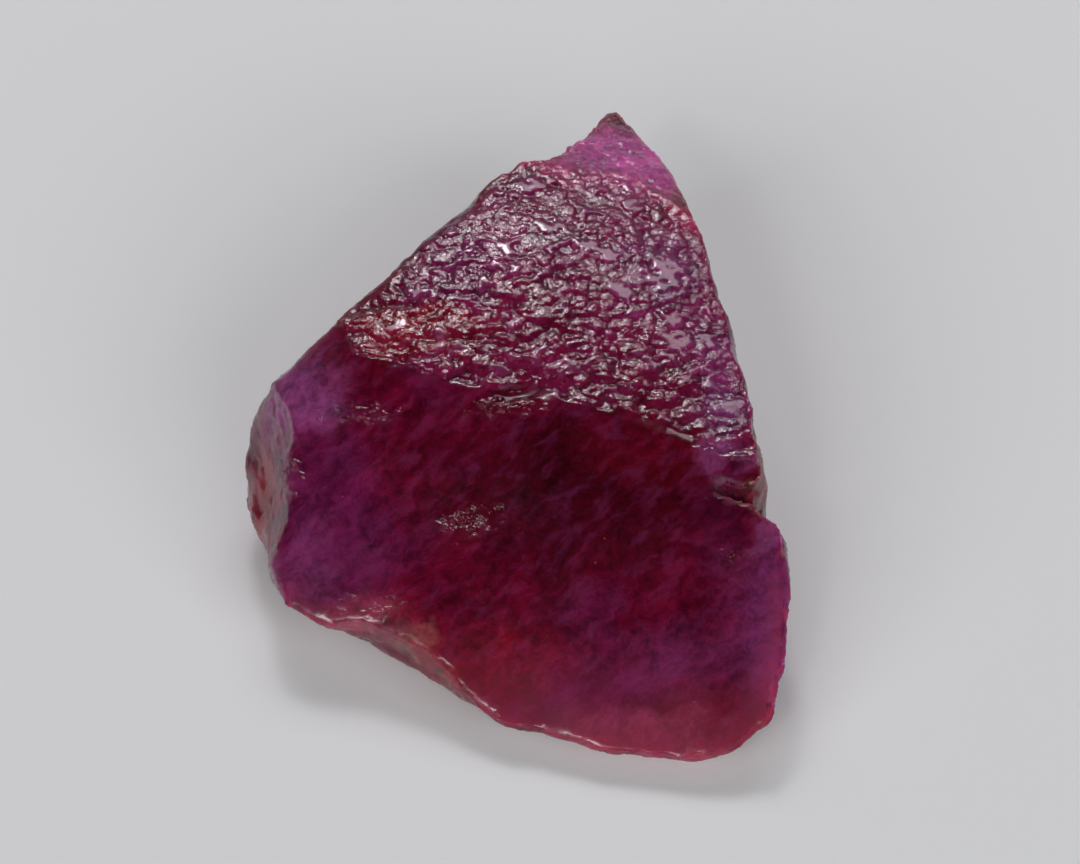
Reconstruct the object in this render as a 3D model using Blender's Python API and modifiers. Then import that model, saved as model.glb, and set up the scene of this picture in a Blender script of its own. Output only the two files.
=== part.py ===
"""Raw ruby: one broken, unpolished piece of cloudy ruby that lies on a flat parting face.

The stone is 1 solid. A block and a thin back tip are convex chunks between corner points. They are joined,
hollowed by the fractures that shaped the stone, given the relief of its etched crown and of its broken
sides, with a knob on the right edge, and cut flat underneath.
X runs to the right, Y to the back, Z up. The origin is under the middle of the stone, on its resting face.
Sizes are in millimetres and are turned to metres by MM. Run: blender --background --python part.py
"""

import math

import bmesh
import bpy
import numpy as np
from mathutils import Matrix, Vector, noise

MM = 0.001

# ---- Driving dimensions (mm) ----

# The block. Its crown is the nearly level etched face, and its front the smooth face that slopes from the
# ridge down to the front rim.
CROWN_RIM = [
    (1.9, 12.9, 13.3),
    (0.5, 12.8, 13.5),
    (-1.0, 11.7, 13.5),
    (-2.6, 9.3, 13.4),
    (-5.4, 6.3, 13.3),
    (-8.1, 2.7, 13.1),
    (-10.6, 0.8, 12.6),
    (11.0, 8.2, 12.8),
    (12.0, 5.1, 12.6),
    (12.7, 1.7, 12.3),
    (13.4, -3.6, 11.9),
    (13.8, -7.3, 11.6),
]
CROWN_DOME = [(-3.0, 2.5, 13.7), (5.0, 3.5, 13.6), (3.0, 9.0, 13.6)]
RIDGE = [(-9.9, -2.6, 12.7), (-4.2, -4.6, 12.6), (2.6, -5.6, 12.5), (8.5, -7.6, 11.9), (14.0, -10.0, 11.1)]
ETCHED_FROM = [(-10.6, 1.3, 12.6)] + RIDGE  # the line where the etching stops, from left to right
FRONT_RIM = [
    (-14.0, -15.4, 4.5),
    (-13.1, -15.9, 4.2),
    (-3.9, -20.5, 2.6),
    (-1.8, -21.4, 2.2),
    (-0.4, -22.1, 1.9),
    (3.8, -23.3, 1.7),
    (7.6, -24.4, 1.6),
    (11.1, -24.7, 1.8),
    (13.1, -24.4, 2.3),
    (14.7, -22.9, 3.3),
    (15.8, -20.2, 5.2),
    (16.3, -17.0, 7.2),
]
LEFT_SHOULDER = [(-16.0, -3.8, 9.7), (-14.3, -2.6, 10.6), (-12.6, -1.3, 11.4), (-17.3, -4.2, 7.0)]
LEFT_EDGE = [(-14.7, -6.0, 9.4), (-14.2, -8.2, 8.8), (-13.9, -13.4, 5.8), (-11.4, -5.4, 10.9)]
LEFT_FOOT = [(-16.5, -4.1, 3.4), (-16.3, -6.0, 2.8), (-15.3, -10.2, 2.9)]
WAIST = [
    (-12.8, 2.4, 5.5),
    (-7.8, 9.4, 5.0),
    (-1.6, 14.2, 5.5),
    (12.6, 6.5, 6.0),
    (14.7, -4.0, 5.0),
    (15.6, -12.0, 3.5),
]
BASE_OUTLINE = [
    (-13.8, -5.0),
    (-12.2, -10.6),
    (-8.5, -13.0),
    (-3.5, -16.6),
    (0.5, -18.9),
    (7.5, -21.6),
    (12.0, -20.6),
    (13.6, -12.0),
    (12.6, -2.0),
    (9.5, 7.5),
    (4.5, 14.0),
    (-1.0, 12.0),
    (-8.0, 5.5),
]
BASE_DEPTH = 1.2  # how far the rough block reaches under the resting face before the face is cut

# The tip is a thin wedge behind the crown, lower than it and smoother.
TIP_CREASE = [
    (1.7, 12.7, 13.2),
    (3.3, 12.2, 13.2),
    (5.8, 12.0, 13.1),
    (7.3, 11.7, 13.0),
    (9.3, 9.8, 12.9),
    (11.0, 8.2, 12.8),
]
TIP_TOP = [
    (2.9, 13.6, 12.8),
    (5.3, 18.4, 11.2),
    (5.9, 20.4, 10.4),
    (6.4, 20.5, 10.3),
    (7.8, 17.6, 10.9),
    (8.9, 15.6, 11.3),
    (9.8, 13.7, 11.7),
]
TIP_LEFT_EDGE = [(3.4, 15.6, 11.8), (5.3, 19.5, 10.2)]
TIP_FOOT = [(4.0, 15.5, 2.0), (6.4, 18.6, 4.5), (8.5, 14.5, 2.0), (3.0, 10.0, 0.0), (9.0, 8.0, 0.0)]

# The knob is a rounded swelling of the right edge, below the ridge's end.
KNOB_AT = (14.4, -13.9, 9.0)
KNOB_RADIUS = 2.0
KNOB_HEIGHT = 0.45

# Fracture hollows, each an ellipsoid: name, centre, radii, turn about Z in degrees.
HOLLOWS = [
    ("left_face_hollow", (-34.2, -12.4, 17.6), (23.0, 23.0, 23.0), 0.0),
    ("back_left_hollow", (-12.0, 7.6, 8.0), (3.2, 7.0, 4.6), -41.0),
    ("back_left_foot_hollow", (-14.6, 4.4, 1.2), (3.6, 6.0, 4.0), -30.0),
    ("back_hollow", (-3.6, 15.2, 5.5), (2.6, 5.5, 4.4), -55.0),
    ("right_back_hollow", (15.5, 5.4, 8.6), (3.2, 6.4, 4.2), 14.0),
    ("right_hollow", (17.0, -5.0, 3.6), (3.4, 7.4, 5.0), 4.0),
    ("right_front_hollow", (18.2, -14.4, 2.8), (3.2, 5.4, 3.8), 0.0),
    ("right_foot_hollow", (14.6, 9.0, 0.0), (3.8, 6.5, 4.0), 16.0),
    ("front_hollow", (2.0, -28.5, -1.5), (13.0, 7.6, 2.9), -12.0),
    ("left_foot_hollow", (-18.5, -9.0, -1.2), (4.6, 9.0, 3.6), 14.0),
    ("ridge_end_notch", (14.3, -11.3, 10.3), (3.0, 0.42, 0.8), -10.0),
    ("right_rim_chip", (15.5, -11.2, 9.2), (1.5, 1.6, 3.2), 0.0),
    ("right_shoulder_chip", (17.0, -9.8, 7.4), (2.3, 2.9, 3.4), 0.0),
    ("ledge_trough", (-0.3, -5.35, 12.8), (2.7, 0.8, 0.85), 10.0),
    ("front_left_scallop", (-7.2, -19.7, 2.2), (5.8, 2.4, 4.6), -30.0),
    ("rim_scallop_1", (-6.2, -18.9, 3.6), (0.9, 0.6, 1.6), 0.0),
    ("rim_scallop_2", (1.2, -23.3, 2.2), (1.2, 0.6, 1.6), 0.0),
    ("crown_rim_chip", (-9.9, 1.6, 13.6), (1.4, 0.9, 1.0), 40.0),
]

VOXEL = 0.28
TRIANGLES = 12600  # before the resting face is cut, which takes about a quarter of them away

# ---- Relief (mm) ----
ETCH_DEPTH = 0.42
ETCH_CELL = (2.1, 1.2, 1.4)
ETCH_MIDDLE = 0.4  # the height of a lump's flank that lies on the crown's plain surface
SWELL_DEPTH = 0.35
SWELL_FADE = 2.2
SWELL_SIZE = (6.0, 3.6, 4.0)
WALL_DEPTH = 0.40
WALL_SIZE = 3.4
FRONT_DEPTH = 0.12
FRONT_SIZE = 4.5
STEP_DEPTH = 0.22
STEP_PITCH = 1.9
STEP_NORMAL = (0.25, 0.45, 0.86)
TIP_CALM = 0.6  # the share of that relief which the tip's upper face lacks

RUBY_COLOR = (0.155, 0.004, 0.035, 1.0)
RUBY_ROUGHNESS = 0.22


def clear_scene():
    for obj in list(bpy.data.objects):
        bpy.data.objects.remove(obj, do_unlink=True)


def new_collection(name):
    collection = bpy.data.collections.new(name)
    bpy.context.scene.collection.children.link(collection)
    return collection


def ruby_material():
    material = bpy.data.materials.new("ruby")
    material.use_nodes = True
    shader = material.node_tree.nodes["Principled BSDF"]
    shader.inputs["Base Color"].default_value = RUBY_COLOR
    shader.inputs["Roughness"].default_value = RUBY_ROUGHNESS
    shader.inputs["Metallic"].default_value = 0.0
    shader.inputs["IOR"].default_value = 1.77
    return material


def add_object(name, bm, collection):
    """A new object that holds this bmesh, which is freed."""
    mesh = bpy.data.meshes.new(name)
    bmesh.ops.recalc_face_normals(bm, faces=bm.faces)
    bm.to_mesh(mesh)
    bm.free()
    obj = bpy.data.objects.new(name, mesh)
    collection.objects.link(obj)
    return obj


def chunk(name, corners, collection):
    """The convex chunk of stone between these corner points."""
    bm = bmesh.new()
    for corner in corners:
        bm.verts.new(Vector(corner) * MM)
    result = bmesh.ops.convex_hull(bm, input=bm.verts)
    spare = [item for item in result["geom_interior"] if isinstance(item, bmesh.types.BMVert)]
    bmesh.ops.delete(bm, geom=spare, context="VERTS")
    return add_object(name, bm, collection)


def ellipsoid(name, middle, radii, turn, collection):
    """An ellipsoid with these half axes, turned about Z."""
    bm = bmesh.new()
    place = Matrix.Translation(Vector(middle) * MM) @ Matrix.Rotation(math.radians(turn), 4, "Z")
    size = Matrix.Diagonal((radii[0] * MM, radii[1] * MM, radii[2] * MM, 1.0))
    bmesh.ops.create_uvsphere(bm, u_segments=64, v_segments=40, radius=1.0, matrix=place @ size)
    return add_object(name, bm, collection)


def boolean(target, tool, operation):
    """Joins a chunk to the target or cuts a hollow out of it, and hides the tool."""
    tool.hide_render = True
    tool.display_type = "WIRE"
    modifier = target.modifiers.new(tool.name, "BOOLEAN")
    modifier.operation = operation
    modifier.solver = "EXACT"
    modifier.object = tool


def evaluated_mesh(obj):
    """A plain mesh of the object with its modifiers applied."""
    graph = bpy.context.evaluated_depsgraph_get()
    return bpy.data.meshes.new_from_object(obj.evaluated_get(graph))


def smooth_step(low, high, value):
    share = min(max((value - low) / (high - low), 0.0), 1.0)
    return share * share * (3.0 - 2.0 * share)


def line_y(line, x):
    """The Y of a line of corner points at this X."""
    return float(np.interp(x, [p[0] for p in line], [p[1] for p in line]))


def past_line(point, line):
    """The distance in plan from a line of corner points, above 0 behind it and below 0 in front of it."""
    nearest = math.inf
    for start, end in zip(line, line[1:]):
        a = Vector(start[:2])
        along = Vector(end[:2]) - a
        share = min(max((point.xy - a).dot(along) / along.length_squared, 0.0), 1.0)
        nearest = min(nearest, (point.xy - a - along * share).length)
    return math.copysign(nearest, point.y - line_y(line, point.x))


def scaled(point, size):
    return Vector((point.x / size[0], point.y / size[1], point.z / size[2]))


def tip_share(point, normal):
    """1 on the upper face of the tip."""
    if point.x < TIP_CREASE[0][0]:
        return 0.0
    return smooth_step(-0.3, 0.5, past_line(point, TIP_CREASE)) * smooth_step(0.4, 0.8, normal.z)


def etched_share(point, normal):
    """1 on the etched crown and 0 on every other face, with a soft border."""
    behind_ridge = smooth_step(-0.4, 0.4, past_line(point, ETCHED_FROM))
    return smooth_step(0.70, 0.90, normal.z) * behind_ridge * (1.0 - tip_share(point, normal))


def front_share(point, normal):
    """1 on the smooth front face and on the shoulder to its left."""
    return smooth_step(0.42, 0.60, normal.z) * smooth_step(0.4, -0.4, past_line(point, ETCHED_FROM))


def hillocks(point):
    """Rounded lumps with narrow valleys, from 0 to about 1."""
    wander = [noise.noise(point * 0.45 + Vector((7.0 * axis, 0.0, 2.0))) for axis in range(3)]
    distances, _ = noise.voronoi(scaled(point + Vector(wander) * 0.55, ETCH_CELL))
    valley = smooth_step(0.0, 0.75, distances[1] - distances[0])
    return valley * (0.65 + 0.5 * noise.noise(point * 0.7 + Vector((4.0, 0.0, 9.0))))


def parting_steps(point):
    """A stair of shallow steps along the planes that ruby parts on, from -0.5 to 0.5."""
    along = point.dot(Vector(STEP_NORMAL).normalized()) / STEP_PITCH
    along += 0.9 * noise.noise(point * 0.14) + 0.35 * noise.noise(point * 0.4 + Vector((0.0, 8.0, 3.0)))
    part = along - math.floor(along)
    patch = smooth_step(-0.35, 0.3, noise.noise(point * 0.2 + Vector((5.0, 1.0, 2.0))))
    return patch * (smooth_step(0.0, 0.25, part) - part)


def knob(point, normal):
    """The swelling of the front face at its right edge, uneven so that it isn't a ball."""
    away = (point - Vector(KNOB_AT)).length * (1.0 + 0.35 * noise.noise(point * 0.7))
    return KNOB_HEIGHT * smooth_step(KNOB_RADIUS, 0.2 * KNOB_RADIUS, away) * smooth_step(0.3, 0.6, normal.z)


def relief(point, normal):
    """How far the surface moves along its normal here, in mm."""
    etched = etched_share(point, normal)
    front = front_share(point, normal)
    side = (1.0 - etched) * (1.0 - front)
    swell = noise.noise(scaled(point, SWELL_SIZE) + Vector((1.7, 5.1, 0.0)))
    from_ridge = smooth_step(0.0, SWELL_FADE, past_line(point, ETCHED_FROM))
    crown = SWELL_DEPTH * swell * from_ridge + ETCH_DEPTH * (hillocks(point) - ETCH_MIDDLE)
    smooth = FRONT_DEPTH * noise.noise(point / FRONT_SIZE + Vector((0.0, 3.3, 0.0)))
    broken = WALL_DEPTH * noise.fractal(point / WALL_SIZE, 1.0, 2.2, 3) + STEP_DEPTH * parting_steps(point)
    broken *= 1.0 - TIP_CALM * tip_share(point, normal)
    return etched * crown + front * smooth + side * broken + knob(point, normal)


def mesh_points(mesh):
    points = np.empty(len(mesh.vertices) * 3, np.float32)
    mesh.vertices.foreach_get("co", points)
    return points.reshape(-1, 3)


def point_normals(mesh, points):
    """Normals summed in a fixed order, so that they are the same in each run. The skin is all quads."""
    corners = np.empty(len(mesh.loops), np.int32)
    mesh.loops.foreach_get("vertex_index", corners)
    quads = corners.reshape(-1, 4)
    across = np.cross(points[quads[:, 2]] - points[quads[:, 0]], points[quads[:, 3]] - points[quads[:, 1]])
    normals = np.zeros_like(points)
    for corner in range(4):
        np.add.at(normals, quads[:, corner], across)
    return normals / np.linalg.norm(normals, axis=1, keepdims=True)


def weather(mesh):
    """Moves each point of the skin along its normal by the relief there."""
    points = mesh_points(mesh)
    normals = point_normals(mesh, points)
    depths = [relief(Vector(p) / MM, Vector(n)) * MM for p, n in zip(points, normals)]
    points += normals * np.array(depths, np.float32)[:, None]
    mesh.vertices.foreach_set("co", points.ravel())
    mesh.update()


def thin_out(obj, triangles):
    """Leaves about this many triangles, most of them where the surface is rough."""
    obj.data.calc_loop_triangles()
    modifier = obj.modifiers.new("thin out", "DECIMATE")
    modifier.decimate_type = "COLLAPSE"
    modifier.ratio = triangles / len(obj.data.loop_triangles)
    return evaluated_mesh(obj)


def cut_resting_face(mesh):
    """Cuts the stone flat at z = 0 and closes the cut with one level face."""
    bm = bmesh.new()
    bm.from_mesh(mesh)
    everything = bm.verts[:] + bm.edges[:] + bm.faces[:]
    cut = bmesh.ops.bisect_plane(
        bm, geom=everything, dist=1e-7, plane_co=(0, 0, 0), plane_no=(0, 0, -1), clear_outer=True
    )
    rim = [item for item in cut["geom_cut"] if isinstance(item, bmesh.types.BMEdge)]
    for vert in {vert for edge in rim for vert in edge.verts}:
        vert.co.z = 0.0
    bmesh.ops.edgenet_fill(bm, edges=rim)
    bmesh.ops.remove_doubles(bm, verts=bm.verts, dist=1e-6)
    bmesh.ops.triangulate(bm, faces=bm.faces)
    bmesh.ops.recalc_face_normals(bm, faces=bm.faces)
    bm.to_mesh(mesh)
    bm.free()


def centre(mesh):
    """Puts the origin under the middle of the stone's box."""
    points = mesh_points(mesh)
    middle = (points.min(axis=0) + points.max(axis=0)) / 2
    mesh.transform(Matrix.Translation((-middle[0], -middle[1], 0.0)))


def rough_block(tools):
    """The joined chunks with the fracture hollows cut, on an even fine grid."""
    base = [(x, y, -BASE_DEPTH) for x, y in BASE_OUTLINE]
    upper = CROWN_RIM + CROWN_DOME + RIDGE + FRONT_RIM
    lower = LEFT_SHOULDER + LEFT_EDGE + LEFT_FOOT + WAIST
    block = chunk("block", upper + lower + base, tools)
    tip = chunk("tip", TIP_CREASE + TIP_TOP + TIP_LEFT_EDGE + TIP_FOOT, tools)
    boolean(block, tip, "UNION")
    for name, middle, radii, turn in HOLLOWS:
        boolean(block, ellipsoid(name, middle, radii, turn, tools), "DIFFERENCE")
    grid = block.modifiers.new("even grid", "REMESH")
    grid.mode = "VOXEL"
    grid.voxel_size = VOXEL * MM
    block.hide_render = True
    block.display_type = "WIRE"
    return block


def main():
    clear_scene()
    stone = new_collection("raw_ruby")
    tools = new_collection("shaping_tools")
    skin = evaluated_mesh(rough_block(tools))
    weather(skin)
    ruby = bpy.data.objects.new("ruby", skin)
    stone.objects.link(ruby)
    thinned = thin_out(ruby, TRIANGLES)
    ruby.modifiers.clear()
    cut_resting_face(thinned)
    centre(thinned)
    thinned.name = "ruby"
    thinned.materials.clear()
    thinned.materials.append(ruby_material())
    ruby.data = thinned


main()
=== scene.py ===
"""The looks of one raw, broken piece of cloudy ruby that lies on its flat parting face.

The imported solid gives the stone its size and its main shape. Here its skin is laid on a finer grid. Its faces
are smoothed while its breaks stay crisp, and the etched crown, the smooth front face and the broken sides get
the relief that each one has. One stone finish then carries the colour clouds, the veils and the gloss.

Lengths on the stone are in millimetres, and those of the studio and of the finished mesh in metres. X runs to
the right, Y to the back and Z up, from the middle of the resting face.
"""

from __future__ import annotations

import logging
import math
from dataclasses import dataclass, field
from enum import Enum
import bmesh
import bpy
import numpy as np
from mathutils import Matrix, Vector
from mathutils.bvhtree import BVHTree


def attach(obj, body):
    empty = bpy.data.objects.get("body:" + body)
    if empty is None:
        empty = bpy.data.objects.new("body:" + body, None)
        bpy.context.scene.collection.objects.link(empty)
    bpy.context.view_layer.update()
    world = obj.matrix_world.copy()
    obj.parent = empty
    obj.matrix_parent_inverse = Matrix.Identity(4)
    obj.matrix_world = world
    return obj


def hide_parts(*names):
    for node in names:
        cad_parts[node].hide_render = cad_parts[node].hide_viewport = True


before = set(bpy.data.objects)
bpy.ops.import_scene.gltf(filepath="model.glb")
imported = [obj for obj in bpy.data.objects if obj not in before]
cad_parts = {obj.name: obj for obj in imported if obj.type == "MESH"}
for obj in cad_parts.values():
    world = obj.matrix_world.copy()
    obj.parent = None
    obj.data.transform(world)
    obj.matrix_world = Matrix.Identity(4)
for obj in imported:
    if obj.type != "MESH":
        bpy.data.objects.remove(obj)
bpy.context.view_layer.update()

MM = 0.001
LOG = logging.getLogger("raw_ruby")

Point = tuple[float, float, float]
Plan = tuple[float, float]
Span = tuple[float, float]
Colour = tuple[float, float, float, float]
Socket = bpy.types.NodeSocket


class Mark(Enum):
    """The values that each point of the stone's skin carries, under the names that its finish reads."""

    ETCHED = "etched"  # 1 on the etched crown
    FRONT = "front"  # 1 on the smooth front face and the shoulder beside it
    TIP = "tip"  # 1 on the upper face of the thin tip
    LOW_CROWN = "low_crown"  # rises to 1 towards the ridge, where the lumps are tallest
    SPARK = "spark"  # 1 in the small glistening patches outside the crown
    CREASE = "crease"  # 1 along the crease between the crown and the tip
    THIN = "thin"  # 1 where the stone is thin; the finish paints a pink glow there
    EDGE = "edge"  # above 0 on the breaks between faces, below 0 in hollows
    DULL = "dull"  # 1 where the skin is weathered and has little gloss
    FLAT = "flat"  # 1 in the larger flat patches among the crown's lumps
    CALM = "calm"  # 1 on all flat patches of the crown, large and small
    FREE = "free"  # 0 on the resting face, which gets no relief


OUTWARDS = "outwards"  # each point's unit normal, along which the relief moves it


class Palette(Enum):
    """The stone's colours, in linear red, green, blue and alpha."""

    CRIMSON = (0.135, 0.002, 0.020, 1.0)
    DARK = (0.060, 0.001, 0.006, 1.0)
    PURPLE = (0.150, 0.010, 0.075, 1.0)
    VIOLET = (0.200, 0.036, 0.165, 1.0)
    LILAC = (0.270, 0.060, 0.200, 1.0)
    PLUM = (0.250, 0.014, 0.095, 1.0)
    MAGENTA = (0.600, 0.085, 0.380, 1.0)
    RED = (0.260, 0.004, 0.010, 1.0)
    PINK = (0.400, 0.060, 0.120, 1.0)
    ROSE = (0.440, 0.030, 0.120, 1.0)
    TAN = (0.330, 0.100, 0.090, 1.0)
    BROWN = (0.070, 0.018, 0.004, 1.0)


def smooth_step(low: float, high: float, value: np.ndarray) -> np.ndarray:
    """Eases values from 0 at low to 1 at high.

    Args:
        low: The value that gives 0.
        high: The value that gives 1. It may be under low.
        value: The values to ease.

    Returns:
        The eased values.
    """
    share = np.clip((value - low) / (high - low), 0.0, 1.0)
    return share * share * (3.0 - 2.0 * share)


# ---- The stone's faces, as lines and patches ----


@dataclass(frozen=True)
class Line:
    """A line of corner points in plan, from left to right."""

    corners: tuple[Plan, ...]

    def past(self, points: np.ndarray) -> np.ndarray:
        """Measures how far points lie behind the line.

        Args:
            points: The places to measure.

        Returns:
            The distances in plan, above 0 behind the line and below 0 in front of it.
        """
        flat = points[:, :2]
        nearest = np.full(len(flat), np.inf)
        for start, end in zip(self.corners, self.corners[1:]):
            a, along = np.array(start), np.array(end) - np.array(start)
            share = np.clip((flat - a) @ along / (along @ along), 0.0, 1.0)
            nearest = np.minimum(nearest, np.linalg.norm(flat - a - share[:, None] * along, axis=1))
        xs, ys = zip(*self.corners)
        return np.copysign(nearest, flat[:, 1] - np.interp(flat[:, 0], xs, ys))


@dataclass(frozen=True)
class Patch:
    """A rounded patch of the skin, with a more or less ragged outline.

    Attributes:
        middle: Its place.
        radii: How far it reaches each way.
        strength: How much of its mark it gives in its middle, from 0 to 1.
        ragged: How far its outline wanders, against its radii.
        waves: The two waves that its outline follows: their way in 1/mm, and their height.
    """

    middle: Point
    radii: Point
    strength: float = 1.0
    ragged: float = 1.0
    waves: tuple[tuple[Point, float], ...] = (((5.1, 3.7, 1.3), 0.35), ((-2.9, 6.3, 4.1), 0.30))

    def share(self, points: np.ndarray) -> np.ndarray:
        """Finds how much of the patch there is at each point.

        Args:
            points: The places to look at.

        Returns:
            The patch's strength in its middle, easing to 0 at its outline.
        """
        away = np.linalg.norm((points - self.middle) / self.radii, axis=1)
        wander = sum(height * np.sin(points @ way) for way, height in self.waves)
        return self.strength * smooth_step(1.1, 0.5, away + self.ragged * wander)


def most_of(patches: tuple[Patch, ...], points: np.ndarray) -> np.ndarray:
    """Returns how much each point has of the patch that is strongest there."""
    return np.max([patch.share(points) for patch in patches], axis=0)


@dataclass(frozen=True)
class Slot:
    """The narrow dark slot at the end of the ridge, straight in plan.

    Attributes:
        start: Its shallow left end, in plan.
        end: Its right end, where it opens in the side.
        width: Half its width.
        depth: Its depth at the right end.
        upper: The heights between which the skin starts to have it, so that it stays off the underside.
    """

    start: Plan = (11.4, -8.55)
    end: Plan = (15.6, -9.55)
    width: float = 0.5
    depth: float = 1.8
    upper: Span = (6.0, 8.5)

    def sink(self, points: np.ndarray) -> np.ndarray:
        """Finds how far the slot takes each point down. Its walls meet in a sharp line.

        Args:
            points: The places to look at.

        Returns:
            The depth at each point.
        """
        along = np.subtract(self.end, self.start)
        way = points[:, :2] - self.start
        share = way @ along / (along @ along)
        aside = (way @ (-along[1], along[0])) / np.linalg.norm(along)
        opening = smooth_step(0.0, 0.6, share) * smooth_step(*self.upper, points[:, 2])
        return self.depth * opening * np.maximum(1.0 - np.abs(aside) / self.width, 0.0)


@dataclass(frozen=True)
class Cloud:
    """A soft cloud of colour in the stone.

    Attributes:
        middle: Its place.
        radii: How far it reaches each way.
        colour: Its colour.
        strength: How much of it shows in its middle, from 0 to 1.
    """

    middle: Point
    radii: Point
    colour: Palette
    strength: float


# Where the etched crown starts, behind the ridge.
ETCHED_FROM = Line(
    (
        (-10.45, 2.30), (-9.45, -0.40), (-6.75, -1.10), (-5.35, -1.80), (-3.15, -2.55), (-1.75, -2.85),
        (0.25, -3.00), (1.45, -2.20), (2.15, -3.00), (2.95, -3.70), (4.65, -4.20), (6.35, -4.50),
        (8.85, -5.00), (10.55, -6.00), (10.85, -6.80), (12.15, -7.00), (13.15, -7.50), (14.35, -7.50),
    )
)
TIP_CREASE = Line(((2.01, 14.70), (3.61, 14.20), (6.11, 14.00), (7.61, 13.70), (9.61, 11.80), (11.31, 10.20)))
BACK_RIM = Line(((-10.29, 2.80), (-7.79, 4.70), (-5.09, 8.30), (-2.29, 11.30), (-0.69, 13.70), (0.81, 14.80)))

NOTCH = Patch((14.0, -8.9, 9.6), (2.8, 1.6, 3.0), ragged=0.1)
KNOB = Patch((14.6, -12.3, 9.0), (2.4, 2.4, 2.4), ragged=0.1)

SPARKS = (
    Patch((-2.4, -9.5, 8.3), (1.7, 0.75, 1.2), 0.65),
    Patch((-6.3, -7.9, 9.0), (0.7, 0.35, 0.6), 0.3),
    Patch((-8.2, -13.4, 5.2), (1.8, 0.8, 1.0), 0.4),
    Patch((13.2, -12.3, 8.6), (0.6, 0.4, 0.8), 0.32),
    Patch((15.2, -10.9, 9.3), (0.6, 0.5, 1.0), 0.25),
    Patch((-9.4, -3.7, 11.1), (2.3, 0.5, 0.8), 0.8),
    Patch((-13.3, -6.0, 8.6), (0.8, 1.3, 1.2), 0.9),
    Patch((-0.2, -3.9, 12.0), (2.2, 0.5, 0.8), 1.0),
    Patch((6.6, 17.6, 12.0), (1.9, 1.7, 1.2), 1.0),
)
DULLS = (
    Patch((13.9, -9.2, 9.8), (1.9, 0.6, 1.6)),
    Patch((14.9, -12.0, 9.2), (1.0, 1.2, 1.2), 0.3),
)
FLATS = (
    Patch((9.5, 5.7, 13.0), (1.5, 1.7, 1.5)),
    Patch((10.0, 0.5, 12.4), (1.1, 1.2, 1.5)),
    Patch((8.5, -1.1, 12.4), (0.9, 0.7, 1.5)),
    Patch((13.4, -4.1, 11.7), (1.0, 1.0, 1.5)),
    Patch((2.3, 9.1, 13.6), (1.4, 0.7, 1.5)),
    Patch((-0.4, 7.3, 13.7), (0.8, 0.8, 1.5)),
    Patch((1.1, 12.7, 13.6), (1.4, 0.8, 1.5)),
    Patch((12.0, 0.9, 12.1), (0.8, 0.7, 1.5)),
    Patch((3.6, -1.6, 12.7), (0.9, 0.6, 1.5)),
)
CLOUDS = (
    Cloud((-11.35, -8.5, 7.5), (5.5, 8.0, 6.0), Palette.PURPLE, 0.75),
    Cloud((4.5, -8.5, 9.5), (11.0, 6.5, 6.0), Palette.DARK, 0.9),
    Cloud((9.65, -6.5, 11.0), (6.0, 2.6, 3.0), Palette.RED, 0.18),
    Cloud((15.65, -16.0, 6.0), (3.4, 6.0, 6.0), Palette.VIOLET, 0.6),
    Cloud((10.15, -17.5, 5.0), (5.0, 2.6, 3.0), Palette.VIOLET, 0.3),
    # The pink band along the front rim is a painted glow of the thin edge.
    Cloud((7.15, -21.5, 1.8), (10.0, 2.0, 2.2), Palette.PINK, 0.5),
    Cloud((-0.35, -17.0, 4.0), (5.5, 2.6, 2.6), Palette.RED, 0.5),
    Cloud((-6.05, -15.6, 4.0), (1.9, 1.0, 1.2), Palette.TAN, 0.5),
    Cloud((-12.6, -12.0, 6.4), (2.6, 3.6, 2.8), Palette.LILAC, 0.35),
    Cloud((-9.9, -14.6, 4.8), (4.4, 2.2, 2.6), Palette.PINK, 0.45),
    Cloud((-9.0, -17.0, 2.2), (3.2, 1.6, 2.4), Palette.RED, 0.5),
    # Pink at the front rim: a painted glow of the thin edge.
    Cloud((-4.0, -19.5, 2.0), (3.2, 1.8, 2.4), Palette.PINK, 0.45),
    Cloud((-12.9, -1.8, 10.6), (4.0, 3.4, 3.2), Palette.LILAC, 0.9),
    Cloud((-15.35, -6.0, 6.0), (1.8, 3.6, 3.6), Palette.RED, 0.7),
    Cloud((-5.85, 1.2, 13.0), (5.5, 2.6, 2.2), Palette.RED, 0.85),
    # The tip's magenta is partly its own colour and partly a painted glow of the thin, translucent tip.
    Cloud((7.6, 16.4, 11.8), (6.5, 4.6, 4.5), Palette.MAGENTA, 0.95),
    Cloud((3.55, 14.0, 13.2), (1.8, 0.9, 1.4), Palette.ROSE, 0.5),
    Cloud((12.75, -3.8, 12.0), (2.4, 2.6, 2.4), Palette.VIOLET, 0.6),
    Cloud((9.5, 6.5, 13.0), (3.6, 4.2, 3.0), Palette.VIOLET, 0.4),
    Cloud((12.3, 0.6, 12.0), (2.6, 2.8, 3.0), Palette.VIOLET, 0.45),
    Cloud((-3.6, 6.0, 13.4), (3.6, 3.2, 3.0), Palette.PURPLE, 0.5),
    Cloud((3.4, 2.6, 13.0), (3.8, 2.6, 3.0), Palette.CRIMSON, 0.55),
    Cloud((12.75, -7.2, 11.0), (2.6, 1.4, 1.4), Palette.LILAC, 0.6),
    # Painted shade: dark brown laid in the slot at the end of the ridge.
    Cloud((13.75, -9.2, 10.1), (1.7, 0.45, 0.9), Palette.BROWN, 0.95),
    Cloud((15.15, -11.9, 9.0), (1.5, 1.8, 1.6), Palette.LILAC, 0.7),
)


# ---- The stone's skin ----


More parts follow.
